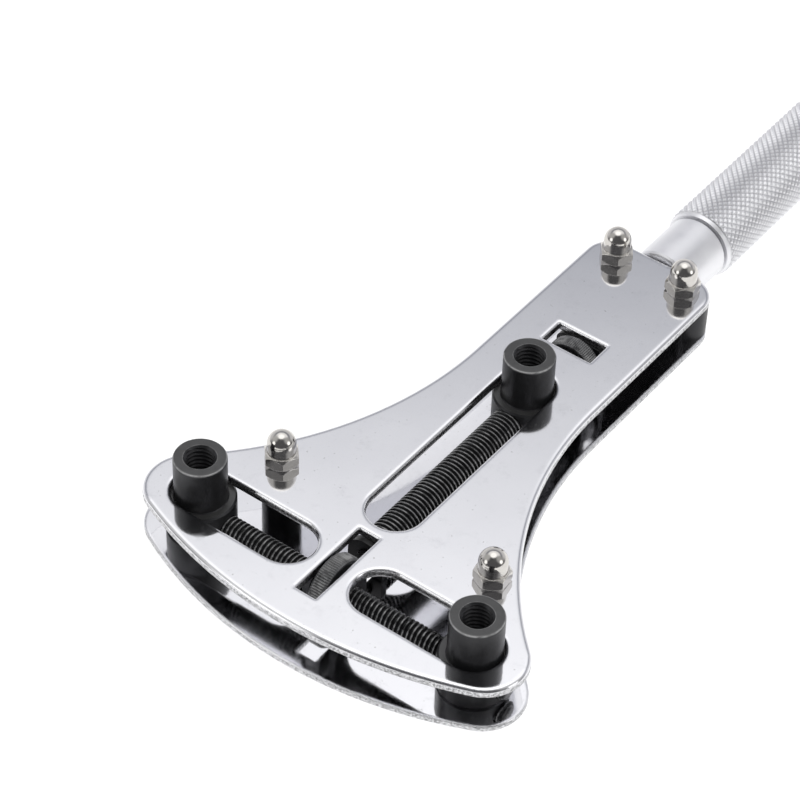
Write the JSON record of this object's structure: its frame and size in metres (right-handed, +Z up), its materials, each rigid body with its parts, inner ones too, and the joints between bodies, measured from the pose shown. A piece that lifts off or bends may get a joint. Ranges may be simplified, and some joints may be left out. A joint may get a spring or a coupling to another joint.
{
  "type": "watch case back opener",
  "caption": "Adjustable case back wrench: two plates on a knurled handle carry threaded jaw posts that thumb wheels and lead screws slide.",
  "frame": {"origin": "centre of the footprint, on the surface that the four bolt heads stand on", "axes": "+Z up, the way the jaw posts point; +Y along the handle, away from the jaws; X across the jaws"},
  "size_m": [0.074, 0.2068, 0.0192],
  "materials": {
    "chrome_plate": "mirror polished chrome on pressed steel",
    "black_oxide": "satin black oxide",
    "dark_bearing": "dull black oxide",
    "post_black_oxide": "satin black oxide, edges rubbed bright",
    "screw_black_oxide": "oiled black oxide, bright thread crests",
    "wheel_black_oxide": "worn black oxide",
    "nickel_fastener": "bright nickel",
    "zinc_stud": "bright zinc",
    "satin_aluminium": "satin, fine diamond knurl"
  },
  "bodies": {
    "frame": {"top_plate": "chrome_plate", "bottom_plate": "chrome_plate", "front_left_spacer": "black_oxide", "front_right_spacer": "black_oxide", "handle_yoke": "black_oxide", "front_screw_left_bearing": "dark_bearing", "front_screw_right_bearing": "dark_bearing", "centre_screw_front_bearing": "dark_bearing", "centre_screw_middle_bearing": "dark_bearing", "centre_screw_rear_bearing": "dark_bearing", "front_left_bolt": "nickel_fastener", "front_left_acorn_nut": "nickel_fastener", "front_right_bolt": "nickel_fastener", "front_right_acorn_nut": "nickel_fastener", "rear_left_bolt": "nickel_fastener", "rear_left_acorn_nut": "nickel_fastener", "rear_right_bolt": "nickel_fastener", "rear_right_acorn_nut": "nickel_fastener", "handle_stud": "zinc_stud", "handle_grip": "satin_aluminium"},
    "front_screw": {"front_lead_screw": "screw_black_oxide", "front_thumb_wheel": "wheel_black_oxide"},
    "centre_screw": {"centre_lead_screw": "screw_black_oxide", "rear_thumb_wheel": "wheel_black_oxide"},
    "left_post": {"left_jaw_post": "post_black_oxide"},
    "right_post": {"right_jaw_post": "post_black_oxide"},
    "centre_post": {"centre_jaw_post": "post_black_oxide"}
  },
  "joints": [
    {"name": "front_screw_turn", "type": "hinge", "parent": "frame", "child": "front_screw", "pos_m": [0, -0.0885, 0.0068], "axis": [1, 0, 0], "range_deg": [0, 7540]},
    {"name": "centre_screw_turn", "type": "hinge", "parent": "frame", "child": "centre_screw", "pos_m": [0, -0.0485, 0.0073], "axis": [0, 1, 0], "range_deg": [0, 15590]},
    {"name": "left_post_slide", "type": "slide", "parent": "frame", "child": "left_post", "axis": [1, 0, 0], "range_m": [0, 0.0178]},
    {"name": "right_post_slide", "type": "slide", "parent": "frame", "child": "right_post", "axis": [-1, 0, 0], "range_m": [0, 0.0178]},
    {"name": "centre_post_slide", "type": "slide", "parent": "frame", "child": "centre_post", "axis": [0, -1, 0], "range_m": [0, 0.0368]}
  ],
  "couplings": [
    {"joint": "front_screw_turn", "follows": "left_post_slide", "rad_per_m": 7392},
    {"joint": "right_post_slide", "follows": "left_post_slide", "ratio": 1},
    {"joint": "centre_screw_turn", "follows": "centre_post_slide", "rad_per_m": 7392}
  ]
}
